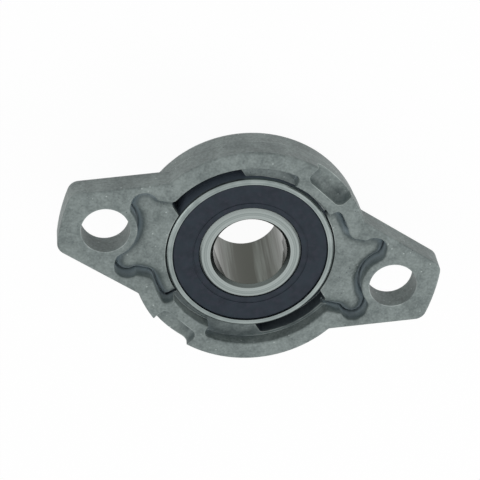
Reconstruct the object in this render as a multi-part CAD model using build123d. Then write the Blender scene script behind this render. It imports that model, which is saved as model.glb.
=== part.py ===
from build123d import *
import os
from math import cos, radians, sin, sqrt, tan

# A two-bolt flanged ball bearing unit for a 12 mm shaft. The die-cast housing holds a ball bearing
# insert in a spherical seat, so that the insert can tilt to suit the shaft.
# Frame: origin on the shaft axis in the plane of the mounting face, +X through a bolt hole,
# +Z out of the mounting face. The whole unit lies below that face. Millimetres and degrees.

# Housing
BOLT_SPACING = 48.0
BOLT_HOLE_D = 7.8
BOLT_HOLE_CHAMFER = 0.5
BOLT_LAND_WALL = 1.2
BOSS_D = 38.2
NOSE_D = 32.0
HOUSING_HEIGHT = 11.5
BOSS_WALL_HEIGHT = 7.8
BOSS_DRAFT = 3.0
BOSS_SHOULDER_R = 1.6
NOSE_EDGE_R = 0.4
WING_THICKNESS = 5.1
WING_SLOPE = 19.3
WING_EDGE_WALL = 3.15
WING_END_WALL = 3.25
WING_CORNER_R = 2.0
WING_EDGE_R = 0.9
WING_ROOT_R = 1.2
FACE_EDGE_R = 0.3

# Recess in the mounting face, with its two loading slots, two ledges and two raised pads
RECESS_GAP = 2.2
RECESS_LEDGE_DEPTH = 2.5
RECESS_RIM_R = 0.3
BRIDGE_START = 45.0
BRIDGE_END = 76.3
BRIDGE_GAP = 0.45
BRIDGE_CORNER_R = 0.9
SLOT_DIRECTION = 135.0
SLOT_WIDTH = 12.4
SLOT_GAP = 1.75
SLOT_CORNER_R = 0.7
PAD_DEPTH = 1.6
PAD_BORE_CLEARANCE = 0.25
PAD_HALF_WIDTH = 7.0
PAD_CORNER_R = 1.4
PAD_ROLL_R = 1.8
PAD_WALL_GAP = 0.25
POCKET_R = 2.15
POCKET_FROM_BOLT = 5.0
POCKET_OFFSET = 5.7
POCKET_DEPTH = 3.8
POCKET_BLEND_R = 0.6
POCKET_LAND_R = 1.4

# Gate reliefs: where the casting was broken from its gates, two pockets open through the rim
GATE_DIRECTION = 60.0
GATE_LENGTH = 7.6
GATE_INNER_R = 16.05
GATE_DEPTH = 2.2
GATE_CORNER_R = 1.2
GATE_COVE_R = 1.0

# Bearing insert
SHAFT_D = 12.0
BEARING_DEPTH = 5.5
OUTER_RING_D = 28.0
OUTER_RING_WIDTH = 8.0
OUTER_SHOULDER_STEP = 0.9
INNER_RING_D = 16.6
INNER_RING_LENGTH = 14.5
BORE_CHAMFER = 0.5
BORE_LEAD_IN = 0.7
RING_CHAMFER = 0.4
RING_EDGE = 0.15
BALL_D = 4.7625
BALL_COUNT = 8
GROOVE_RATIO = 0.515
SEAT_CLEARANCE = 0.03
BALL_CLEARANCE = 0.03

# Cage of two pressed steel halves, riveted between the balls
CAGE_THICKNESS = 0.35
CAGE_RING_GAP = 0.35
CAGE_POCKET_CLEARANCE = 0.12
RIVET_D = 0.8
RIVET_HEAD_D = 1.3
RIVET_HEAD_HEIGHT = 0.25

# Seals: rubber moulded over a steel washer, snapped into the outer ring
SEAL_SET_BACK = 0.25
SEAL_THICKNESS = 0.65
SEAL_RIM_WALL = 0.82
SEAL_BEAD_HEIGHT = 0.3
SEAL_BEAD_DEPTH = 0.12
SEAL_FIT = 0.03
SEAL_RIM_STEP = 0.2
LIP_CLEARANCE = 0.04
LIP_WIDTH = 0.76
LIP_GROOVE_WIDTH = 0.3
LIP_GROOVE_DEPTH = 0.08
WASHER_FROM_LIP = 0.3
WASHER_FROM_RIM = 0.6
WASHER_THICKNESS = 0.3

# Set screws in the collar of the inner ring
SCREW_D = 4.0
SCREW_LENGTH = 3.6
SCREW_CLEARANCE = 0.05
SCREW_FROM_END = 2.7
SCREW_TIP_GAP = 0.3
SCREW_DIRECTIONS = (55.0, 175.0)
SCREW_SOCKET_ACROSS_FLATS = 2.0
SCREW_SOCKET_DEPTH = 1.8
SCREW_CUP_D = 2.0
SCREW_CUP_DEPTH = 0.4
SCREW_CHAMFER = 0.3

CUT_MARGIN = 1.0
ROOT_OVERLAP = 0.1
bolt_x = BOLT_SPACING / 2
boss_r = BOSS_D / 2
outer_r = OUTER_RING_D / 2
seat_r = outer_r + SEAT_CLEARANCE
recess_r = outer_r + RECESS_GAP
bridge_r = outer_r + BRIDGE_GAP
ring_face = OUTER_RING_WIDTH / 2
ring_face_r = sqrt(outer_r ** 2 - ring_face ** 2)
seal_rim_r = ring_face_r - SEAL_RIM_WALL
shoulder_r = seal_rim_r - OUTER_SHOULDER_STEP
inner_r = INNER_RING_D / 2
ball_r = BALL_D / 2
groove_r = GROOVE_RATIO * BALL_D
pitch_r = (shoulder_r + inner_r) / 2
lip_r = inner_r + LIP_CLEARANCE + LIP_WIDTH
washer_inner_r = lip_r + WASHER_FROM_LIP
washer_outer_r = seal_rim_r - WASHER_FROM_RIM


def polar(radius, angle):
    return radius * cos(radians(angle)), radius * sin(radians(angle))


def below_face(sketch, depth):
    """A cutter from just above the mounting face down to a depth."""
    return extrude(Pos(0, 0, -depth) * sketch, amount=depth + CUT_MARGIN)


def both_ends(shape):
    """The shape and its copy turned half round about the shaft axis."""
    return shape + Rot(0, 0, 180) * shape


def wedge(start, end):
    """A triangle from the axis, wide enough to cut the recess between two angles."""
    return Polygon((0, 0), polar(BOSS_D, start), polar(BOSS_D, end), align=None)


def wing_outline():
    """A long rhombus around both bolt holes, with round ends."""
    edge_distance = BOLT_HOLE_D / 2 + WING_EDGE_WALL
    side_distance = bolt_x * sin(radians(WING_SLOPE)) + edge_distance
    tip_x = side_distance / sin(radians(WING_SLOPE))
    tip_y = side_distance / cos(radians(WING_SLOPE))
    rhombus = Polygon((tip_x, 0), (0, tip_y), (-tip_x, 0), (0, -tip_y), align=None)
    band = rhombus & Circle(bolt_x + BOLT_HOLE_D / 2 + WING_END_WALL)
    return fillet(band.vertices().filter_by(lambda v: abs(v.X) > bolt_x), WING_CORNER_R)


def flange_outline():
    """Both wings joined by a disc just inside the boss, with a small radius at each root."""
    disc_r = boss_r - ROOT_OVERLAP
    outline = wing_outline() + Circle(disc_r)
    roots = outline.vertices().filter_by(lambda v: abs(sqrt(v.X ** 2 + v.Y ** 2) - disc_r) < 0.01)
    return fillet(roots, WING_ROOT_R)


def rounded(profile, corner, radius):
    """The profile with the corner nearest to a point rounded."""
    return fillet(profile.vertices().sort_by_distance((*corner, 0))[0], radius)


def boss():
    """The round boss, drafted for the die, with a cone down to its nose."""
    top = (boss_r, 0)
    shoulder = (boss_r - BOSS_WALL_HEIGHT * tan(radians(BOSS_DRAFT)), -BOSS_WALL_HEIGHT)
    nose = (NOSE_D / 2, -HOUSING_HEIGHT)
    profile = Polygon((0, 0), top, shoulder, nose, (0, -HOUSING_HEIGHT), align=None)
    profile = rounded(profile, top, FACE_EDGE_R)
    profile = rounded(profile, shoulder, BOSS_SHOULDER_R)
    profile = rounded(profile, nose, NOSE_EDGE_R)
    return revolve(Plane.XZ * profile, Axis.Z)


def recess_outline():
    """The round recess, left solid at the two bridges and opened there only for the insert."""
    bridges = both_ends(wedge(BRIDGE_START, BRIDGE_END))
    opening = Circle(recess_r) - bridges
    corners = opening.vertices().filter_by(lambda v: sqrt(v.X ** 2 + v.Y ** 2) > bridge_r)
    return fillet(corners, BRIDGE_CORNER_R) + Circle(bridge_r)


def pad_outline():
    """The recess between the insert and each bolt hole, with a round pocket in every corner."""
    pocket_x = bolt_x - POCKET_FROM_BOLT
    arms = Rectangle(2 * pocket_x, 2 * PAD_HALF_WIDTH)
    for side in (-1, 1):
        arms += Pos(side * pocket_x, 0) * SlotCenterToCenter(2 * POCKET_OFFSET, 2 * POCKET_R, rotation=90)
    blends = arms.vertices().filter_by(lambda v: abs(abs(v.Y) - PAD_HALF_WIDTH) < 0.01)
    arms = fillet(blends, POCKET_BLEND_R)
    land_r = BOLT_HOLE_D / 2 + BOLT_LAND_WALL
    for side in (-1, 1):
        arms -= Pos(side * bolt_x, 0) * Circle(land_r)
    arms = offset(offset(arms, -POCKET_LAND_R), POCKET_LAND_R)
    outline = arms + (recess_outline() & both_ends(wedge(180, 180 + BRIDGE_START)))
    return fillet(recess_corners(outline), PAD_CORNER_R)


def recess_corners(outline):
    """The corners where the long sides of the pads run into the round recess."""
    corners = outline.vertices().filter_by(lambda v: abs(abs(v.Y) - PAD_HALF_WIDTH) < 0.01)
    return corners.filter_by(lambda v: abs(sqrt(v.X ** 2 + v.Y ** 2) - recess_r) < 0.01)


def pads():
    """The two raised pads, level with the insert, whose outer edges roll down to the recess floor."""
    outline = pad_outline() + Circle(outer_r - PAD_ROLL_R)
    base = Pos(0, 0, -POCKET_DEPTH - CUT_MARGIN) * offset(outline, -PAD_WALL_GAP)
    block = extrude(base, POCKET_DEPTH + CUT_MARGIN - PAD_DEPTH)
    return fillet(block.faces().sort_by(Axis.Z)[-1].edges(), PAD_ROLL_R)


def recess():
    """The whole recess as one cutter: the ledges' level, and round the pads the deeper grooves."""
    outline = recess_outline() + pad_outline()
    outline = fillet(recess_corners(outline), PAD_CORNER_R)
    return below_face(outline, RECESS_LEDGE_DEPTH) + below_face(pad_outline(), POCKET_DEPTH) - pads()


def gate_relief():
    """A pocket that opens through the rim, with a cove where its floor meets its three walls."""
    length = boss_r + CUT_MARGIN - GATE_INNER_R
    outward = (Align.MIN, Align.CENTER, Align.MAX)
    pocket = Pos(0, 0, CUT_MARGIN) * Box(length, GATE_LENGTH, GATE_DEPTH + CUT_MARGIN, align=outward)
    pocket = fillet(pocket.edges().filter_by(Axis.Z).sort_by(Axis.X)[:2], GATE_CORNER_R)
    pocket = fillet(pocket.faces().sort_by(Axis.Z)[0].edges().sort_by(Axis.X)[:-1], GATE_COVE_R)
    return Rot(0, 0, GATE_DIRECTION) * Pos(GATE_INNER_R, 0, 0) * pocket


def bolt_hole():
    """A plain hole, with its mouth chamfered on the wing's outer side."""
    hole_r = BOLT_HOLE_D / 2
    wall = Polygon(
        (0, CUT_MARGIN),
        (hole_r, CUT_MARGIN),
        (hole_r, BOLT_HOLE_CHAMFER - WING_THICKNESS),
        (hole_r + BOLT_HOLE_CHAMFER + CUT_MARGIN, -WING_THICKNESS - CUT_MARGIN),
        (0, -WING_THICKNESS - CUT_MARGIN),
        align=None,
    )
    return Pos(bolt_x, 0, 0) * revolve(Plane.XZ * wall, Axis.Z)


def housing():
    """Die-cast flange with a round boss, open through a spherical seat."""
    rounded_from = WING_THICKNESS - WING_EDGE_R
    plate = extrude(Pos(0, 0, -rounded_from) * flange_outline(), rounded_from)
    plate = fillet(plate.faces().sort_by(Axis.Z)[-1].edges(), FACE_EDGE_R)
    wings = extrude(Pos(0, 0, -WING_THICKNESS) * wing_outline(), WING_THICKNESS - FACE_EDGE_R)
    wings = fillet(wings.faces().sort_by(Axis.Z)[0].edges(), WING_EDGE_R)
    body = boss() + plate + wings

    body -= recess()
    rim = body.faces().filter_by(Plane.XY).sort_by(Axis.Z)[-1].inner_wires()[0]
    body = fillet(rim.edges(), RECESS_RIM_R)
    body -= below_face(Circle(outer_r - PAD_BORE_CLEARANCE), RECESS_LEDGE_DEPTH)
    slot_reach = outer_r + SLOT_GAP
    slot = Rot(0, 0, SLOT_DIRECTION) * Rectangle(2 * slot_reach, SLOT_WIDTH) & Circle(slot_reach)
    body -= below_face(fillet(slot.vertices(), SLOT_CORNER_R), BEARING_DEPTH)
    body -= Pos(0, 0, -BEARING_DEPTH) * Sphere(seat_r)
    return body - both_ends(gate_relief()) - both_ends(bolt_hole())


# The insert is drawn about its own middle plane and lowered to the bearing centre at the end.


def turned(points):
    """A solid of revolution about the shaft axis from (radius, height) points."""
    return revolve(Plane.XZ * Polygon(*points, align=None), Axis.Z)


def tube(outer_r, inner_r, low, high):
    return turned([(inner_r, low), (outer_r, low), (outer_r, high), (inner_r, high)])


def round_edges(shape, radius):
    """The shape's round edges of one radius."""
    return shape.edges().filter_by(GeomType.CIRCLE).filter_by(lambda e: abs(e.radius - radius) < 0.01)


def both_faces(shape):
    """The shape and its mirror image across the middle plane of the bearing."""
    return shape + mirror(shape, Plane.XY)


def outer_ring():
    """Hardened ring: spherical outside, deep ball groove, and a seal recess in each face."""
    seal_floor = ring_face - SEAL_SET_BACK - SEAL_THICKNESS
    ring = tube(seat_r, shoulder_r, -ring_face, ring_face) & Sphere(outer_r)
    ring = chamfer(round_edges(ring, ring_face_r), RING_EDGE)
    ring -= Torus(pitch_r + ball_r + BALL_CLEARANCE - groove_r, groove_r)
    recess = tube(seal_rim_r, 0, seal_floor, ring_face + CUT_MARGIN)
    bead_groove = tube(seal_rim_r + SEAL_BEAD_DEPTH, 0, seal_floor, seal_floor + SEAL_BEAD_HEIGHT)
    return ring - both_faces(recess + bead_groove)


def seal_rubber():
    """Rubber disc: bead in the ring's groove, raised rim, and a lip that runs near the inner ring."""
    inner = inner_r + LIP_CLEARANCE
    rim_r = seal_rim_r - SEAL_FIT
    bottom = ring_face - SEAL_SET_BACK - SEAL_THICKNESS + SEAL_FIT
    top = ring_face - SEAL_SET_BACK
    bead_top = bottom + SEAL_BEAD_HEIGHT - 2 * SEAL_FIT
    disc = turned(
        [
            (inner, bottom),
            (rim_r + SEAL_BEAD_DEPTH, bottom),
            (rim_r + SEAL_BEAD_DEPTH, bead_top),
            (rim_r, bead_top),
            (rim_r, top - SEAL_RIM_STEP),
            (rim_r - SEAL_RIM_STEP, top),
            (inner, top),
        ]
    )
    groove = tube(lip_r + LIP_GROOVE_WIDTH, lip_r, top - LIP_GROOVE_DEPTH, ring_face)
    washer_seat = tube(washer_outer_r, washer_inner_r, bottom - CUT_MARGIN, bottom + WASHER_THICKNESS)
    return disc - groove - washer_seat


def seal_washer():
    """Pressed steel washer that stiffens the rubber, flush with its inner side."""
    bottom = ring_face - SEAL_SET_BACK - SEAL_THICKNESS + SEAL_FIT
    return tube(washer_outer_r, washer_inner_r, bottom, bottom + WASHER_THICKNESS)


def screw_place(direction):
    """Where a set screw's axis leaves the bore: its X axis points out of the collar."""
    height = ring_face - INNER_RING_LENGTH + SCREW_FROM_END
    return Rot(0, 0, direction) * Pos(0, 0, height)


def inner_ring():
    """Hardened ring, longer on one side, where two threaded holes take the set screws."""
    bottom = ring_face - INNER_RING_LENGTH
    bore_r = SHAFT_D / 2
    ring = turned(
        [
            (bore_r, bottom + BORE_LEAD_IN),
            (bore_r + BORE_CHAMFER, bottom),
            (inner_r - RING_CHAMFER, bottom),
            (inner_r, bottom + RING_CHAMFER),
            (inner_r, ring_face - RING_CHAMFER),
            (inner_r - RING_CHAMFER, ring_face),
            (bore_r + BORE_CHAMFER, ring_face),
            (bore_r, ring_face - BORE_LEAD_IN),
        ]
    )
    ring -= Torus(pitch_r - ball_r - BALL_CLEARANCE + groove_r, groove_r)
    outward = (Align.CENTER, Align.CENTER, Align.MIN)
    hole = Cylinder(SCREW_D / 2, INNER_RING_D, rotation=(0, 90, 0), align=outward)
    for direction in SCREW_DIRECTIONS:
        ring -= screw_place(direction) * hole
    return ring


def set_screw(direction):
    """Cup-point set screw, backed off so that its point is just clear of the shaft."""
    along = (Align.CENTER, Align.CENTER, Align.MIN)
    body = Cylinder(SCREW_D / 2 - SCREW_CLEARANCE, SCREW_LENGTH, align=along)
    body = chamfer(body.edges().filter_by(GeomType.CIRCLE), SCREW_CHAMFER)
    body -= Cone(SCREW_CUP_D / 2, 0, SCREW_CUP_DEPTH, align=along)
    socket = RegularPolygon(SCREW_SOCKET_ACROSS_FLATS / 2, 6, major_radius=False)
    body -= extrude(Pos(0, 0, SCREW_LENGTH - SCREW_SOCKET_DEPTH) * socket, SCREW_SOCKET_DEPTH)
    return screw_place(direction) * Pos(SHAFT_D / 2 + SCREW_TIP_GAP, 0, 0) * Rot(0, 90, 0) * body


def ball(index):
    return Rot(0, 0, index * 360 / BALL_COUNT) * Pos(pitch_r, 0, 0) * Sphere(ball_r)


def around(shape, offset_share=0.0):
    """Copies of a shape at every ball, or part of the way to the next ball."""
    step = 360 / BALL_COUNT
    copies = [Rot(0, 0, (index + offset_share) * step) * shape for index in range(BALL_COUNT)]
    return Part() + copies


def cage_half():
    """Upper half of the ribbon cage: a flat ring pressed into a round pocket over each ball."""
    pocket_r = ball_r + CAGE_POCKET_CLEARANCE
    shell_r = pocket_r + CAGE_THICKNESS
    inner, outer = inner_r + CAGE_RING_GAP, shoulder_r - CAGE_RING_GAP
    band = tube(outer, inner, 0, shell_r)
    ribbon = tube(outer, inner, 0, CAGE_THICKNESS)
    domes = around(Pos(pitch_r, 0, 0) * Sphere(shell_r)) & band
    pockets = around(Pos(pitch_r, 0, 0) * Sphere(pocket_r))
    holes = around(Pos(pitch_r, 0, 0) * Cylinder(RIVET_D / 2, 4 * CAGE_THICKNESS), 0.5)
    return ribbon + domes - pockets - holes


def cage_rivets():
    """A rivet between each pair of balls, with a round head on both cage halves."""
    head = Cylinder(RIVET_HEAD_D / 2, RIVET_HEAD_HEIGHT, align=(Align.CENTER, Align.CENTER, Align.MIN))
    rivet = Cylinder(RIVET_D / 2, 2 * CAGE_THICKNESS) + both_faces(Pos(0, 0, CAGE_THICKNESS) * head)
    return around(Pos(pitch_r, 0, 0) * rivet, 0.5)


insert = {
    "outer_ring": outer_ring(),
    "rear_seal_rubber": seal_rubber(),
    "rear_seal_washer": seal_washer(),
    "front_seal_rubber": mirror(seal_rubber(), Plane.XY),
    "front_seal_washer": mirror(seal_washer(), Plane.XY),
    "inner_ring": inner_ring(),
    "cage_rear_half": cage_half(),
    "cage_front_half": mirror(cage_half(), Plane.XY),
    "cage_rivets": cage_rivets(),
}
for index, direction in enumerate(SCREW_DIRECTIONS, 1):
    insert[f"set_screw_{index}"] = set_screw(direction)
for index in range(BALL_COUNT):
    insert[f"ball_{index + 1}"] = ball(index)

nodes = {"housing": housing()}
for name, shape in insert.items():
    nodes[name] = Pos(0, 0, -BEARING_DEPTH) * shape

os.makedirs("parts", exist_ok=True)
for name, shape in nodes.items():
    export_step(shape, f"parts/{name}.step")
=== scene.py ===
import bmesh
import bpy
from math import cos, pi, radians, sin, tau
from mathutils import Matrix, Vector


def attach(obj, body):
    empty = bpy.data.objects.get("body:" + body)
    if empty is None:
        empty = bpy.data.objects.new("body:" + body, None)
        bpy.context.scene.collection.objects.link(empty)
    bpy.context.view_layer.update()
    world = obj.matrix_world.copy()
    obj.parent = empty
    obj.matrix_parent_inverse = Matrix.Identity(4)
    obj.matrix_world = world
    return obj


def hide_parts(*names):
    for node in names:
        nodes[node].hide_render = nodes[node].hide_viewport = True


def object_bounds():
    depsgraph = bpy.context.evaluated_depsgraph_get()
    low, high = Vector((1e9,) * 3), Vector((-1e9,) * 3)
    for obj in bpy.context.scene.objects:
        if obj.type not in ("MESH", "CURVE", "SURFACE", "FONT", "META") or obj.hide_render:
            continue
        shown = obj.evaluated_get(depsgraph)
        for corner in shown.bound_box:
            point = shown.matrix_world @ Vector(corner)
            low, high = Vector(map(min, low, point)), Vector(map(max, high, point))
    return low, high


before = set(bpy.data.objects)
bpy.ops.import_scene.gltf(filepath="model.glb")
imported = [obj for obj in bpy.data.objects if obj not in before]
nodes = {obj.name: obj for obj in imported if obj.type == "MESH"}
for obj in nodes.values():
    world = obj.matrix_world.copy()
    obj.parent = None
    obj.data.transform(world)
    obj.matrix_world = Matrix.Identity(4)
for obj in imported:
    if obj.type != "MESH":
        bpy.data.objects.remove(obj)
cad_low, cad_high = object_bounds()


# Housing: a zinc alloy die casting, tumbled in stones and left bare. It was broken off its two gates,
# and carries everything else. Two bolts hold it to a flat plate.

def linear(hex_colour):
    """The linear RGBA of an sRGB hex colour."""
    channels = [int(hex_colour[i:i + 2], 16) / 255 for i in (1, 3, 5)]
    return [c / 12.92 if c <= 0.04045 else ((c + 0.055) / 1.055) ** 2.4 for c in channels] + [1.0]


def add(tree, kind, sockets=None, **settings):
    """Adds a node. Each socket, by name or number, gets a value or a link from another output."""
    node = tree.nodes.new(kind)
    for name, value in settings.items():
        setattr(node, name, value)
    for key, value in (sockets or {}).items():
        if isinstance(value, bpy.types.NodeSocket):
            tree.links.new(value, node.inputs[key])
        else:
            node.inputs[key].default_value = value
    return node


def finish_of(name, metallic):
    """A material with its shader, and where a point lies on the piece in metres."""
    material = bpy.data.materials.new(name)
    material.use_nodes = True
    tree = material.node_tree
    shader = tree.nodes["Principled BSDF"]
    shader.inputs["Metallic"].default_value = metallic
    place = add(tree, "ShaderNodeTexCoord").outputs["Object"]
    return material, tree, shader, place


def join(tree, shader, outputs):
    """Links each output to the shader's socket of that name."""
    for socket, output in outputs.items():
        tree.links.new(output, shader.inputs[socket])


def round_the_axis(tree, place):
    """A point's distance from the shaft axis, and its height, both in metres."""
    axes = add(tree, "ShaderNodeSeparateXYZ", {0: place})
    flat = add(tree, "ShaderNodeCombineXYZ", {0: axes.outputs[0], 1: axes.outputs[1]})
    radius = add(tree, "ShaderNodeVectorMath", {0: flat.outputs[0]}, operation="LENGTH")
    return radius.outputs["Value"], axes.outputs[2]


def per_metre(millimetres):
    """The texture scale at which a pattern repeats about once in that length."""
    return 1000 / millimetres


def wear(piece, material):
    """Gives a piece its one material."""
    piece.data.materials.clear()
    piece.data.materials.append(material)


# A Mix node of colours lays a share of one colour over another. These are its sockets and its output.
SHARE, UNDER, OVER, MIXED = 0, 6, 7, 2

# A tumbled zinc casting has a grey oxide skin, so it is only partly mirror-like. Cold metal leaves soft
# clouds, and the stones leave a fine grain with bright nicks and dark pits. The edges are painted lighter
# in patches, partly a painted highlight and partly the stones' rubbing. The recesses are painted darker,
# a painted shade, their deepest corners are painted pale again, a painted light against that shade, and
# the seat and the slots round the insert are painted dark, a painted shade. The real grain is about 0.1
# mm across and is drawn at 0.4 mm, so that it shows.
CLOUD_MM, MOTTLE_MM, GRAIN_MM, NICK_MM = 6.0, 1.3, 0.4, 1.0
ZINC_SHADE, ZINC_LIGHT, ZINC_RUBBED_EDGE_AND_HIGHLIGHT = "#5c6665", "#828c8a", "#b9c3c0"
ZINC_NICK, ZINC_PIT, ZINC_RECESS_SHADE, SEAT_AND_SLOT_SHADE = "#a9b3b0", "#475052", "#4a585e", "#2d3743"
CORNER_PAINTED_LIGHT = "#a7b4b9"
STRUCK_SHARE = 0.3
OCCLUSION_REACH, EDGE_WIDTH = 0.006, 0.00025
SEAT_SHADE_R, SEAT_SHADE_HIGH, SEAT_SHADE_LOW = 0.0158, -0.0027, -0.0105
SEAT_SHADE_FADE_R, SEAT_SHADE_FADE_HIGH, SEAT_SHADE_FADE_LOW = 0.0001, 0.0003, 0.0004
zinc, tree, shader, place = finish_of("tumbled_zinc_die_casting", metallic=0.15)
cloud = add(tree, "ShaderNodeTexNoise", {"Vector": place, "Scale": per_metre(CLOUD_MM), "Detail": 3.0})
mottle = add(tree, "ShaderNodeTexNoise", {"Vector": place, "Scale": per_metre(MOTTLE_MM), "Detail": 4.0})
grain = add(tree, "ShaderNodeTexNoise", {"Vector": place, "Scale": per_metre(GRAIN_MM), "Detail": 3.0})
tone = add(tree, "ShaderNodeMath", {0: cloud.outputs["Fac"], 1: mottle.outputs["Fac"]}, operation="ADD")
tone = add(tree, "ShaderNodeMath", {0: tone.outputs[0], 1: grain.outputs["Fac"]}, operation="ADD")
tone = add(tree, "ShaderNodeMapRange", {"Value": tone.outputs[0], "From Min": 1.2, "From Max": 1.8})
skin = add(tree, "ShaderNodeMix", {SHARE: tone.outputs[0], UNDER: linear(ZINC_SHADE),
                                   OVER: linear(ZINC_LIGHT)}, data_type="RGBA")
# Some of the cells of a random net are struck by a stone: one channel of a cell's random colour picks
# the bright nicks, and the next one picks the dark pits.
net = add(tree, "ShaderNodeTexVoronoi", {"Vector": place, "Scale": per_metre(NICK_MM)})
middle = add(tree, "ShaderNodeMapRange", {"Value": net.outputs["Distance"], "From Min": 0.16,
                                          "From Max": 0.06})
luck = add(tree, "ShaderNodeSeparateColor", {0: net.outputs["Color"]})
blows = []
for channel in (0, 1):
    struck = add(tree, "ShaderNodeMath", {0: luck.outputs[channel], 1: 1 - STRUCK_SHARE},
                 operation="GREATER_THAN")
    blows.append(add(tree, "ShaderNodeMath", {0: struck.outputs[0], 1: middle.outputs[0]},
                     operation="MULTIPLY"))
nick, pit = blows
# Painted shade in the recesses, and painted light in their deepest corners, go where little open air reaches
# the skin.
open_air = add(tree, "ShaderNodeAmbientOcclusion", {"Distance": OCCLUSION_REACH}, samples=16, only_local=True)
recess_shade = add(tree, "ShaderNodeMapRange", {"Value": open_air.outputs["AO"], "From Min": 0.72, "From Max": 0.5,
                                           "To Max": 0.4})
# The deepest corners are painted pale again: painted light against their shade.
corner_light = add(tree, "ShaderNodeMapRange", {"Value": open_air.outputs["AO"], "From Min": 0.5, "From Max": 0.22,
                                        "To Max": 0.95})
# The seat and the slots get a dark painted shade within a radius and between two heights.
radius, height = round_the_axis(tree, place)
within = add(tree, "ShaderNodeMapRange", {"Value": radius, "From Min": SEAT_SHADE_R + SEAT_SHADE_FADE_R,
                                          "From Max": SEAT_SHADE_R - SEAT_SHADE_FADE_R})
below = add(tree, "ShaderNodeMapRange", {"Value": height, "From Min": SEAT_SHADE_HIGH + SEAT_SHADE_FADE_HIGH,
                                         "From Max": SEAT_SHADE_HIGH - SEAT_SHADE_FADE_HIGH, "To Max": 0.92})
above = add(tree, "ShaderNodeMapRange", {"Value": height, "From Min": SEAT_SHADE_LOW - SEAT_SHADE_FADE_LOW,
                                         "From Max": SEAT_SHADE_LOW + SEAT_SHADE_FADE_LOW})
seat_shade = add(tree, "ShaderNodeMath", {0: within.outputs[0], 1: below.outputs[0]}, operation="MULTIPLY")
seat_shade = add(tree, "ShaderNodeMath", {0: seat_shade.outputs[0], 1: above.outputs[0]}, operation="MULTIPLY")
# An edge is where a rounded copy of the surface turns away from it. Edges deep in a corner are left
# alone, and the others are painted lighter in patches, partly a painted highlight and partly the
# stones' rubbing.
surface = add(tree, "ShaderNodeNewGeometry")
rounded = add(tree, "ShaderNodeBevel", {"Radius": EDGE_WIDTH}, samples=8)
turned = add(tree, "ShaderNodeVectorMath", {0: rounded.outputs[0], 1: surface.outputs["Normal"]},
             operation="DOT_PRODUCT")
rubbed_edge_and_highlight = add(tree, "ShaderNodeMapRange", {"Value": turned.outputs["Value"], "From Min": 0.985, "From Max": 0.9})
proud = add(tree, "ShaderNodeMapRange", {"Value": open_air.outputs["AO"], "From Min": 0.15, "From Max": 0.4})
rubbed_edge_and_highlight = add(tree, "ShaderNodeMath", {0: rubbed_edge_and_highlight.outputs[0], 1: proud.outputs[0]}, operation="MULTIPLY")
in_patches = add(tree, "ShaderNodeMapRange", {"Value": cloud.outputs["Fac"], "From Min": 0.42, "From Max": 0.6,
                                          "To Min": 0.08, "To Max": 0.85})
rubbed_edge_and_highlight = add(tree, "ShaderNodeMath", {0: rubbed_edge_and_highlight.outputs[0], 1: in_patches.outputs[0]}, operation="MULTIPLY")
# Layers laid over the skin: nicks, pits, painted shade in the recesses, painted light in their deepest
# corners, painted shade in the seat and slots, and painted highlight with rubbing on the edges.
for layer, colour in ((nick, ZINC_NICK), (pit, ZINC_PIT), (recess_shade, ZINC_RECESS_SHADE), (corner_light, CORNER_PAINTED_LIGHT),
                      (seat_shade, SEAT_AND_SLOT_SHADE), (rubbed_edge_and_highlight, ZINC_RUBBED_EDGE_AND_HIGHLIGHT)):
    skin = add(tree, "ShaderNodeMix", {SHARE: layer.outputs[0], UNDER: skin.outputs[MIXED],
                                       OVER: linear(colour)}, data_type="RGBA")
dull = add(tree, "ShaderNodeMapRange", {"Value": mottle.outputs["Fac"], "From Min": 0.3, "From Max": 0.7,
                                        "To Min": 0.46, "To Max": 0.62})
fine = add(tree, "ShaderNodeBump", {"Height": grain.outputs["Fac"], "Strength": 0.6, "Distance": 0.00004})
coarse = add(tree, "ShaderNodeBump", {"Height": mottle.outputs["Fac"], "Strength": 0.5, "Distance": 0.00008,
                                      "Normal": fine.outputs[0]})
join(tree, shader, {"Base Color": skin.outputs[MIXED], "Roughness": dull.outputs[0],
                    "Normal": coarse.outputs[0]})
wear(nodes["housing"], zinc)


# Outer ring: hardened chrome steel, ground all over and spherical outside. It goes in edge-on through
# the housing's slots, is swung flat into the seat, and can then only tilt there.

# A grinding wheel leaves rings round the axis. Real ones are about 0.01 mm apart, too fine to show, so
# they are drawn at 0.2 mm. Handling leaves a faint uneven haze of oil. The spherical outside is painted
# a dark blue-grey, a painted shade, and is made far less metallic there.
GRINDING_MM, HAZE_MM = 0.2, 3.0
RING_SHADE, RING_LIGHT, RING_SIDE_SHADE = "#7c8685", "#9ea7a5", "#5e6874"
SPHERE_SIDE_R, SPHERE_SIDE_FADE = 0.01355, 0.00005
ring_steel, tree, shader, place = finish_of("ground_chrome_steel_ring", metallic=1.0)
radius, height = round_the_axis(tree, place)
section = add(tree, "ShaderNodeCombineXYZ", {0: radius, 1: height})
marks = add(tree, "ShaderNodeTexNoise", {"Vector": section.outputs[0], "Scale": per_metre(GRINDING_MM),
                                         "Detail": 3.0})
haze = add(tree, "ShaderNodeTexNoise", {"Vector": place, "Scale": per_metre(HAZE_MM), "Detail": 3.0})
tone = add(tree, "ShaderNodeMath", {0: marks.outputs["Fac"], 1: haze.outputs["Fac"]}, operation="ADD")
tone = add(tree, "ShaderNodeMapRange", {"Value": tone.outputs[0], "From Min": 0.75, "From Max": 1.25})
steel = add(tree, "ShaderNodeMix", {SHARE: tone.outputs[0], UNDER: linear(RING_SHADE),
                                    OVER: linear(RING_LIGHT)}, data_type="RGBA")
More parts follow.
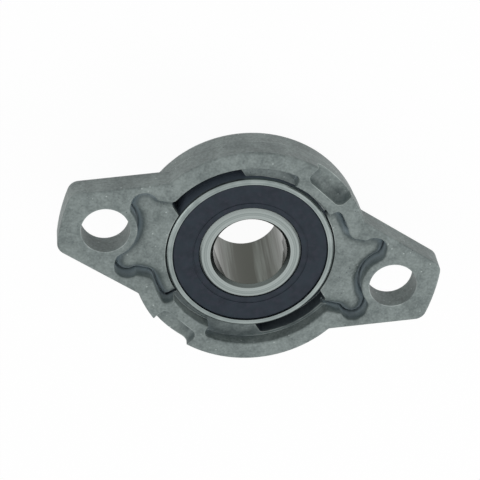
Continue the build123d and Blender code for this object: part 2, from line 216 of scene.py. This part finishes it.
# The spherical outside gets a dark painted shade and much less metal.
on_sphere_side = add(tree, "ShaderNodeMapRange", {"Value": radius, "From Min": SPHERE_SIDE_R - SPHERE_SIDE_FADE,
                                           "From Max": SPHERE_SIDE_R + SPHERE_SIDE_FADE})
steel = add(tree, "ShaderNodeMix", {SHARE: on_sphere_side.outputs[0], UNDER: steel.outputs[MIXED],
                                    OVER: linear(RING_SIDE_SHADE)}, data_type="RGBA")
bare = add(tree, "ShaderNodeMapRange", {"Value": on_sphere_side.outputs[0], "To Min": 1.0, "To Max": 0.15})
dull = add(tree, "ShaderNodeMapRange", {"Value": marks.outputs["Fac"], "From Min": 0.3, "From Max": 0.7,
                                        "To Min": 0.26, "To Max": 0.38})
bump = add(tree, "ShaderNodeBump", {"Height": marks.outputs["Fac"], "Strength": 0.4, "Distance": 0.00001})
join(tree, shader, {"Base Color": steel.outputs[MIXED], "Metallic": bare.outputs[0],
                    "Roughness": dull.outputs[0], "Normal": bump.outputs[0]})
wear(nodes["outer_ring"], ring_steel)


# Balls: through-hardened chrome steel, lapped to a mirror. Eight of them roll between the two rings,
# kept apart by the cage, under a thin uneven film of grease.

FILM_MM = 1.5
BALL_SHADE, BALL_LIGHT = "#b2b7ba", "#c9cccd"
BALLS = 8
ball_steel, tree, shader, place = finish_of("lapped_chrome_steel", metallic=1.0)
film = add(tree, "ShaderNodeTexNoise", {"Vector": place, "Scale": per_metre(FILM_MM), "Detail": 2.0})
steel = add(tree, "ShaderNodeMix", {SHARE: film.outputs["Fac"], UNDER: linear(BALL_SHADE),
                                    OVER: linear(BALL_LIGHT)}, data_type="RGBA")
dull = add(tree, "ShaderNodeMapRange", {"Value": film.outputs["Fac"], "To Min": 0.05, "To Max": 0.16})
join(tree, shader, {"Base Color": steel.outputs[MIXED], "Roughness": dull.outputs[0]})
for number in range(1, BALLS + 1):
    wear(nodes[f"ball_{number}"], ball_steel)


# Cage: two ribbons of low-carbon strip steel, pressed into pockets round the balls. The steel stays
# plain, and pressing leaves it finely scuffed.

SCUFF_MM = 0.6
STRIP_SHADE, STRIP_LIGHT = "#858786", "#adb0af"
cage_steel, tree, shader, place = finish_of("pressed_strip_steel", metallic=1.0)
scuff = add(tree, "ShaderNodeTexNoise", {"Vector": place, "Scale": per_metre(SCUFF_MM), "Detail": 4.0})
steel = add(tree, "ShaderNodeMix", {SHARE: scuff.outputs["Fac"], UNDER: linear(STRIP_SHADE),
                                    OVER: linear(STRIP_LIGHT)}, data_type="RGBA")
dull = add(tree, "ShaderNodeMapRange", {"Value": scuff.outputs["Fac"], "To Min": 0.28, "To Max": 0.5})
bump = add(tree, "ShaderNodeBump", {"Height": scuff.outputs["Fac"], "Strength": 0.3, "Distance": 0.00001})
join(tree, shader, {"Base Color": steel.outputs[MIXED], "Roughness": dull.outputs[0],
                    "Normal": bump.outputs[0]})
for name in ("cage_rear_half", "cage_front_half"):
    wear(nodes[name], cage_steel)


# Cage rivets: soft steel pins through both ribbons, one between each pair of balls, headed over into
# a low dome on each side. Geometry Nodes set eight copies of one rivet round the ball circle.

def turned_blank(name, profile, sides):
    """A closed mesh turned about Z, from pole to pole. A radius may also be a function of the angle."""
    blank = bmesh.new()
    angles = [tau * side / sides for side in range(sides)]
    first = blank.verts.new((0, 0, profile[0][1]))
    last = blank.verts.new((0, 0, profile[-1][1]))
    rings = []
    for reach, level in profile[1:-1]:
        radii = [reach(angle) if callable(reach) else reach for angle in angles]
        rings.append([blank.verts.new((r * cos(a), r * sin(a), level)) for r, a in zip(radii, angles)])
    for side in range(sides):
        following = (side + 1) % sides
        blank.faces.new((first, rings[0][following], rings[0][side]))
        blank.faces.new((last, rings[-1][side], rings[-1][following]))
        for low, high in zip(rings, rings[1:]):
            blank.faces.new((low[side], low[following], high[following], high[side]))
    bmesh.ops.recalc_face_normals(blank, faces=blank.faces)
    mesh = bpy.data.meshes.new(name)
    blank.to_mesh(mesh)
    blank.free()
    piece = bpy.data.objects.new(name, mesh)
    bpy.context.scene.collection.objects.link(piece)
    return piece


def shaping_tree(name, sizes):
    """A Geometry Nodes tree with an input for each size, by name and kind, and its input sockets."""
    tree = bpy.data.node_groups.new(name, "GeometryNodeTree")
    for label, kind in (("Geometry", "Geometry"), *sizes, ("Material", "Material")):
        tree.interface.new_socket(label, in_out="INPUT", socket_type=f"NodeSocket{kind}")
    tree.interface.new_socket("Geometry", in_out="OUTPUT", socket_type="NodeSocketGeometry")
    return tree, add(tree, "NodeGroupInput").outputs


def end_of(tree, shaped, material):
    """Ends a tree: its instances are made real and get their material."""
    real = add(tree, "GeometryNodeRealizeInstances", {0: shaped})
    worn = add(tree, "GeometryNodeSetMaterial", {"Geometry": real.outputs[0], "Material": material})
    add(tree, "NodeGroupOutput", {0: worn.outputs[0]})


SHARP_ANGLE = radians(32)


def made_with(piece, tree, sizes):
    """Runs a Geometry Nodes tree on a piece, with sizes for its named inputs, and keeps the plain mesh."""
    modifier = piece.modifiers.new(tree.name, "NODES")
    modifier.node_group = tree
    for item in tree.interface.items_tree:
        if item.item_type == "SOCKET" and item.name in sizes:
            modifier[item.identifier] = sizes[item.name]
    made = piece.evaluated_get(bpy.context.evaluated_depsgraph_get())
    mesh = bpy.data.meshes.new_from_object(made)
    piece.modifiers.remove(modifier)
    piece.data = mesh
    mesh.polygons.foreach_set("use_smooth", [True] * len(mesh.polygons))
    mesh.set_sharp_from_angle(angle=SHARP_ANGLE)


RIVETS, RIVET_SIDES, DOME_STEPS = BALLS, 20, 6
RIVET_CIRCLE_R, RIVET_LEVEL = 0.009998, -0.0055
RIVET_SHANK_R, RIVET_HEAD_R, RIVET_HEAD_HEIGHT, RIVET_GRIP = 0.0004, 0.00065, 0.00025, 0.0007
turns = [pi / 2 * step / DOME_STEPS for step in range(DOME_STEPS)]
upper = [(RIVET_HEAD_R * cos(turn), RIVET_GRIP / 2 + RIVET_HEAD_HEIGHT * sin(turn)) for turn in turns]
upper += [(0, RIVET_GRIP / 2 + RIVET_HEAD_HEIGHT)]
lower = [(reach, -level) for reach, level in reversed(upper)]
shank = [(RIVET_SHANK_R, -RIVET_GRIP / 2), (RIVET_SHANK_R, RIVET_GRIP / 2)]
rivets = turned_blank("domed_cage_rivets", lower + shank + upper, RIVET_SIDES)

tree, given = shaping_tree("rivets_round_a_circle", (
    ("Count", "Int"), ("Circle Radius", "Float"), ("Level", "Float"), ("First Angle", "Float")))
circle = add(tree, "GeometryNodeMeshCircle", {"Vertices": given["Count"], "Radius": given["Circle Radius"]})
copies = add(tree, "GeometryNodeInstanceOnPoints", {"Points": circle.outputs[0],
                                                    "Instance": given["Geometry"]})
rise = add(tree, "ShaderNodeCombineXYZ", {2: given["Level"]})
turn = add(tree, "ShaderNodeCombineXYZ", {2: given["First Angle"]})
placed = add(tree, "GeometryNodeTransform", {"Geometry": copies.outputs[0], "Translation": rise.outputs[0],
                                             "Rotation": turn.outputs[0]})
end_of(tree, placed.outputs[0], given["Material"])
made_with(rivets, tree, {"Count": RIVETS, "Circle Radius": RIVET_CIRCLE_R, "Level": RIVET_LEVEL,
                         "First Angle": pi / RIVETS, "Material": cage_steel})
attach(rivets, "cage")
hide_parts("cage_rivets")


# Seals: nitrile rubber moulded over a pressed steel washer and snapped into the outer ring. The rubber
# is dusted with talc, so that it leaves its mould and doesn't stick.

# Nitrile rubber is matt blue-black, with a faint bloom, paler specks of talc, and the fine rings of its
# turned mould. Those are about 0.05 mm apart, too fine to show, and are drawn at 0.35 mm.
MOULD_RING_MM, BLOOM_MM, TALC_MM = 0.35, 2.2, 0.9
RUBBER_SHADE, RUBBER_LIGHT, TALC = "#18202a", "#232e37", "#2c2e3a"
rubber, tree, shader, place = finish_of("moulded_nitrile_rubber", metallic=0.0)
shader.inputs["Specular IOR Level"].default_value = 0.25
section = add(tree, "ShaderNodeCombineXYZ", {0: round_the_axis(tree, place)[0]})
rings = add(tree, "ShaderNodeTexNoise", {"Vector": section.outputs[0], "Scale": per_metre(MOULD_RING_MM),
                                         "Detail": 2.0})
bloom = add(tree, "ShaderNodeTexNoise", {"Vector": place, "Scale": per_metre(BLOOM_MM), "Detail": 4.0})
talc = add(tree, "ShaderNodeTexNoise", {"Vector": place, "Scale": per_metre(TALC_MM), "Detail": 3.0})
tone = add(tree, "ShaderNodeMapRange", {"Value": bloom.outputs["Fac"], "From Min": 0.3, "From Max": 0.7})
black = add(tree, "ShaderNodeMix", {SHARE: tone.outputs[0], UNDER: linear(RUBBER_SHADE),
                                    OVER: linear(RUBBER_LIGHT)}, data_type="RGBA")
dusted = add(tree, "ShaderNodeMapRange", {"Value": talc.outputs["Fac"], "From Min": 0.45, "From Max": 0.7,
                                          "To Max": 0.6})
black = add(tree, "ShaderNodeMix", {SHARE: dusted.outputs[0], UNDER: black.outputs[MIXED],
                                    OVER: linear(TALC)}, data_type="RGBA")
dull = add(tree, "ShaderNodeMapRange", {"Value": bloom.outputs["Fac"], "To Min": 0.5, "To Max": 0.68})
bump = add(tree, "ShaderNodeBump", {"Height": rings.outputs["Fac"], "Strength": 0.35, "Distance": 0.00002})
join(tree, shader, {"Base Color": black.outputs[MIXED], "Roughness": dull.outputs[0],
                    "Normal": bump.outputs[0]})
for name in ("rear_seal_rubber", "front_seal_rubber"):
    wear(nodes[name], rubber)
for name in ("rear_seal_washer", "front_seal_washer"):
    wear(nodes[name], cage_steel)


# Inner ring: hardened chrome steel, longer on the front, where two threaded holes take the set screws
# that hold it on the shaft. Its faces are ground bright, and its bore is honed along the axis.

BORE_R, FACE_INNER_R = 0.006, 0.0065
FADE_START, FADE_END = 0.00002, 0.00006
GROUND_SHADE, GROUND_LIGHT = "#828b89", "#a2aaa8"
collar_steel, tree, shader, place = finish_of("ground_and_honed_chrome_steel", metallic=1.0)
radius, height = round_the_axis(tree, place)
section = add(tree, "ShaderNodeCombineXYZ", {0: radius, 1: height})
marks = add(tree, "ShaderNodeTexNoise", {"Vector": section.outputs[0], "Scale": per_metre(GRINDING_MM),
                                         "Detail": 3.0})
ground = add(tree, "ShaderNodeMapRange", {"Value": marks.outputs["Fac"], "From Min": 0.3, "From Max": 0.7})
face = add(tree, "ShaderNodeMix", {SHARE: ground.outputs[0], UNDER: linear(GROUND_SHADE),
                                   OVER: linear(GROUND_LIGHT)}, data_type="RGBA")
# Honing leaves streaks along the bore. The bore's dark brownish grey, its lighter streaks and broad
# patches, placed by an offset, are partly honing marks and partly a painted reflection. The lead-in
# beside the face is painted darker, a painted reflection. Real streaks are about 0.02 mm apart and are
# drawn at 0.5 mm.
HONE_MM, REFLECTION_PATCH_MM, HONE_LENGTHENING = 0.5, 6.0, 0.04
REFLECTION_OFFSET, STREAK_SHARE = (-0.0025, -0.001, 0), 0.35
BORE_REFLECTION_DARK, BORE_REFLECTION_LIGHT, LEAD_IN_REFLECTION = "#494b45", "#7f8580", "#666d6b"
drawn = add(tree, "ShaderNodeMapping", {"Vector": place, "Location": REFLECTION_OFFSET,
                                        "Scale": (1, 1, HONE_LENGTHENING)})
streak = add(tree, "ShaderNodeTexNoise", {"Vector": drawn.outputs[0], "Scale": per_metre(HONE_MM),
                                          "Detail": 4.0})
reflection_patch = add(tree, "ShaderNodeTexNoise", {"Vector": drawn.outputs[0], "Scale": per_metre(REFLECTION_PATCH_MM),
                                         "Detail": 1.0})
streaks_and_reflection = add(tree, "ShaderNodeMath", {0: streak.outputs["Fac"], 1: STREAK_SHARE}, operation="MULTIPLY")
streaks_and_reflection = add(tree, "ShaderNodeMath", {0: streaks_and_reflection.outputs[0], 1: reflection_patch.outputs["Fac"]}, operation="ADD")
streaks_and_reflection = add(tree, "ShaderNodeMapRange", {"Value": streaks_and_reflection.outputs[0], "From Min": 0.66, "From Max": 0.92})
bore = add(tree, "ShaderNodeMix", {SHARE: streaks_and_reflection.outputs[0], UNDER: linear(BORE_REFLECTION_DARK),
                                   OVER: linear(BORE_REFLECTION_LIGHT)}, data_type="RGBA")
is_lead_in = add(tree, "ShaderNodeMapRange", {"Value": radius, "From Min": BORE_R + FADE_START,
                                              "From Max": BORE_R + FADE_END})
is_face = add(tree, "ShaderNodeMapRange", {"Value": radius, "From Min": FACE_INNER_R - FADE_END,
                                           "From Max": FACE_INNER_R - FADE_START})
# The lead-in is painted darker, a painted reflection.
inside = add(tree, "ShaderNodeMix", {SHARE: is_lead_in.outputs[0], UNDER: bore.outputs[MIXED],
                                     OVER: linear(LEAD_IN_REFLECTION)}, data_type="RGBA")
steel = add(tree, "ShaderNodeMix", {SHARE: is_face.outputs[0], UNDER: inside.outputs[MIXED],
                                    OVER: face.outputs[MIXED]}, data_type="RGBA")
dull = add(tree, "ShaderNodeMapRange", {"Value": marks.outputs["Fac"], "From Min": 0.3, "From Max": 0.7,
                                        "To Min": 0.24, "To Max": 0.34})
smooth = add(tree, "ShaderNodeMapRange", {"Value": streaks_and_reflection.outputs[0], "To Min": 0.06, "To Max": 0.13})
# A Mix node of plain numbers has them at its sockets 2 and 3.
gloss = add(tree, "ShaderNodeMix", {SHARE: is_lead_in.outputs[0], 2: smooth.outputs[0], 3: dull.outputs[0]})
bump = add(tree, "ShaderNodeBump", {"Height": marks.outputs["Fac"], "Strength": is_face.outputs[0],
                                    "Distance": 0.000004})
join(tree, shader, {"Base Color": steel.outputs[MIXED], "Roughness": gloss.outputs[0],
                    "Normal": bump.outputs[0]})
wear(nodes["inner_ring"], collar_steel)


# Set screws: alloy steel, with a rolled M4 thread, a hexagon socket and a cup point, oiled black. A key
# turns them through the collar until their points bite into the shaft.

# Black oxide is a thin dark skin on the steel, and is a little lighter where the screw is rubbed.
RUB_MM = 0.7
OXIDE_SHADE, OXIDE_LIGHT = "#1c1c1e", "#434346"
black_steel, tree, shader, place = finish_of("black_oxide_alloy_steel", metallic=0.85)
rub = add(tree, "ShaderNodeTexNoise", {"Vector": place, "Scale": per_metre(RUB_MM), "Detail": 4.0})
oxide = add(tree, "ShaderNodeMix", {SHARE: rub.outputs["Fac"], UNDER: linear(OXIDE_SHADE),
                                    OVER: linear(OXIDE_LIGHT)}, data_type="RGBA")
dull = add(tree, "ShaderNodeMapRange", {"Value": rub.outputs["Fac"], "To Min": 0.28, "To Max": 0.48})
join(tree, shader, {"Base Color": oxide.outputs[MIXED], "Roughness": dull.outputs[0]})

# The tree pulls a plain bar's skin inwards along a helix: one turn in each pitch, from a narrow flat on
# the crest, down a straight flank, to a flat at the root. Half of each flat is given in pitches.
THREAD_PITCH, THREAD_DEPTH, THREAD_HALF_FLAT, HALF_PITCH = 0.0007, 0.0004, 0.06, 0.5
tree, given = shaping_tree("rolled_thread", (
    ("Outer Radius", "Float"), ("Pitch", "Float"), ("Depth", "Float")))
point = add(tree, "GeometryNodeInputPosition").outputs[0]
axes = add(tree, "ShaderNodeSeparateXYZ", {0: point})
angle = add(tree, "ShaderNodeMath", {0: axes.outputs[1], 1: axes.outputs[0]}, operation="ARCTAN2")
angle = add(tree, "ShaderNodeMath", {0: angle.outputs[0], 1: tau}, operation="DIVIDE")
along = add(tree, "ShaderNodeMath", {0: axes.outputs[2], 1: given["Pitch"]}, operation="DIVIDE")
helix = add(tree, "ShaderNodeMath", {0: along.outputs[0], 1: angle.outputs[0]}, operation="SUBTRACT")
wave = add(tree, "ShaderNodeMath", {0: helix.outputs[0], 1: HALF_PITCH}, operation="PINGPONG")
flank = add(tree, "ShaderNodeMapRange", {"Value": wave.outputs[0], "From Min": THREAD_HALF_FLAT,
                                         "From Max": HALF_PITCH - THREAD_HALF_FLAT})
cut = add(tree, "ShaderNodeMath", {0: flank.outputs[0], 1: given["Depth"]}, operation="MULTIPLY")
crest = add(tree, "ShaderNodeMath", {0: given["Outer Radius"], 1: cut.outputs[0]}, operation="SUBTRACT")
flat = add(tree, "ShaderNodeCombineXYZ", {0: axes.outputs[0], 1: axes.outputs[1]})
reach = add(tree, "ShaderNodeVectorMath", {0: flat.outputs[0]}, operation="LENGTH")
kept = add(tree, "ShaderNodeMath", {0: reach.outputs["Value"], 1: crest.outputs[0]}, operation="MINIMUM")
share = add(tree, "ShaderNodeMath", {0: kept.outputs[0], 1: reach.outputs["Value"]}, operation="DIVIDE")
flat = add(tree, "ShaderNodeVectorMath", {0: flat.outputs[0], "Scale": share.outputs[0]}, operation="SCALE")
level = add(tree, "ShaderNodeCombineXYZ", {2: axes.outputs[2]})
moved = add(tree, "ShaderNodeVectorMath", {0: flat.outputs[0], 1: level.outputs[0]}, operation="ADD")
thread = add(tree, "GeometryNodeSetPosition", {"Geometry": given["Geometry"], "Position": moved.outputs[0]})
end_of(tree, thread.outputs[0], given["Material"])

SCREW_R, SCREW_LENGTH, SCREW_CHAMFER = 0.00195, 0.0036, 0.0003
SCREW_DIRECTIONS, SCREW_START, SCREW_LEVEL = (55.0, 175.0), 0.0063, -0.0133
CUP_R, CUP_DEPTH = 0.001, 0.0004
SOCKET_HALF_WIDTH, SOCKET_DEPTH, DRILL_POINT = 0.001, 0.0018, 0.0004
SCREW_SIDES, SHANK_STEPS, CHAMFER_STEPS = 48, 44, 4


def hexagon(angle):
    """How far the socket's wall is from the screw's axis at an angle."""
    return SOCKET_HALF_WIDTH / cos((angle + pi / 6) % (pi / 3) - pi / 6)


steps = [step / CHAMFER_STEPS for step in range(CHAMFER_STEPS + 1)]
point_end = [(0, CUP_DEPTH), (CUP_R, 0)]
point_end += [(SCREW_R - SCREW_CHAMFER * (1 - step), SCREW_CHAMFER * step) for step in steps]
shank_length = SCREW_LENGTH - 2 * SCREW_CHAMFER
shank = [(SCREW_R, SCREW_CHAMFER + shank_length * step / SHANK_STEPS) for step in range(1, SHANK_STEPS)]
key_end = [(SCREW_R - SCREW_CHAMFER * step, SCREW_LENGTH - SCREW_CHAMFER * (1 - step)) for step in steps]
key_end += [(hexagon, SCREW_LENGTH), (hexagon, SCREW_LENGTH - SOCKET_DEPTH)]
key_end += [(0, SCREW_LENGTH - SOCKET_DEPTH - DRILL_POINT)]
for number, direction in enumerate(SCREW_DIRECTIONS, 1):
    screw = turned_blank(f"threaded_set_screw_{number}", point_end + shank + key_end, SCREW_SIDES)
    made_with(screw, tree, {"Outer Radius": SCREW_R, "Pitch": THREAD_PITCH, "Depth": THREAD_DEPTH,
                            "Material": black_steel})
    outward = Matrix.Rotation(radians(direction), 4, "Z") @ Matrix.Translation((SCREW_START, 0, SCREW_LEVEL))
    screw.data.transform(outward @ Matrix.Rotation(radians(90), 4, "Y"))
    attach(screw, f"set_screw_{number}")
    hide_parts(f"set_screw_{number}")


# Studio: a pale seamless floor that the unit stands on, a white surround, two large soft boxes, and
# the camera.

FLOOR_REACH, FLOOR_GAP = 6.0, 0.00002
FLOOR_LEVEL = cad_low.z - FLOOR_GAP
floor_mesh = bpy.data.meshes.new("studio_floor")
corners = [(x * FLOOR_REACH, y * FLOOR_REACH, FLOOR_LEVEL) for x, y in ((-1, -1), (1, -1), (1, 1), (-1, 1))]
floor_mesh.from_pydata(corners, [], [(0, 1, 2, 3)])
floor = bpy.data.objects.new("studio_floor", floor_mesh)
bpy.context.scene.collection.objects.link(floor)


def looked_at(tree):
    """Is 1 for a look straight at a thing, or at its image in metal or through glass, and 0 for light."""
    path = add(tree, "ShaderNodeLightPath")
    seen = add(tree, "ShaderNodeMath", {0: path.outputs["Is Camera Ray"], 1: path.outputs["Is Glossy Ray"]},
               operation="MAXIMUM")
    seen = add(tree, "ShaderNodeMath", {0: seen.outputs[0], 1: path.outputs["Is Transmission Ray"]},
               operation="MAXIMUM")
    return seen.outputs[0]


# Paper that looks white, and still shows a small share of the shadow that falls on it.
SHADOW_SHARE = 0.04
PAPER = "#f4f4f4"
WHITE = (1, 1, 1, 1)
floor_paper = bpy.data.materials.new("white_seamless_paper")
floor_paper.use_nodes = True
tree = floor_paper.node_tree
shader = tree.nodes["Principled BSDF"]
shader.inputs["Base Color"].default_value = linear(PAPER)
shader.inputs["Roughness"].default_value = 0.9
share = add(tree, "ShaderNodeMath", {0: looked_at(tree), 1: 1 - SHADOW_SHARE}, operation="MULTIPLY")
white = add(tree, "ShaderNodeEmission", {"Color": WHITE, "Strength": 1.0})
both = add(tree, "ShaderNodeMixShader", {0: share.outputs[0], 1: shader.outputs[0], 2: white.outputs[0]})
tree.links.new(both.outputs[0], tree.nodes["Material Output"].inputs["Surface"])
floor_mesh.materials.append(floor_paper)

# The surround looks white, and lights the unit more softly than that.
ROOM_STRENGTH = 0.63
world = bpy.data.worlds.new("white_studio")
bpy.context.scene.world = world
world.use_nodes = True
tree = world.node_tree
level = add(tree, "ShaderNodeMapRange", {"Value": looked_at(tree), "To Min": ROOM_STRENGTH, "To Max": 1.0})
background = tree.nodes["Background"]
background.inputs["Color"].default_value = WHITE
tree.links.new(level.outputs[0], background.inputs["Strength"])

for name, place, width, watts in (
    ("key_soft_box", (0.45, -0.16, 0.38), 0.3, 1.2),
    ("fill_soft_box", (-0.4, -0.1, 0.45), 0.3, 0.6),
):
    lamp = bpy.data.lights.new(name, "AREA")
    lamp.shape, lamp.size, lamp.energy = "SQUARE", width, watts
    stand = bpy.data.objects.new(name, lamp)
    stand.location = place
    stand.rotation_euler = (-Vector(place)).to_track_quat("-Z", "Y").to_euler()
    bpy.context.scene.collection.objects.link(stand)

lens = bpy.data.cameras.new("camera")
lens.lens, lens.sensor_width = 154.362, 36.0
lens.clip_start, lens.clip_end = 0.01, 20.0
camera = bpy.data.objects.new("camera", lens)
camera.location = (-0.070479, 0.154114, 0.282968)
camera.rotation_euler = (radians(-29.94658), radians(-5.17748), radians(15.24586))
bpy.context.scene.collection.objects.link(camera)
bpy.context.scene.camera = camera
bpy.context.scene.view_settings.view_transform = "Standard"
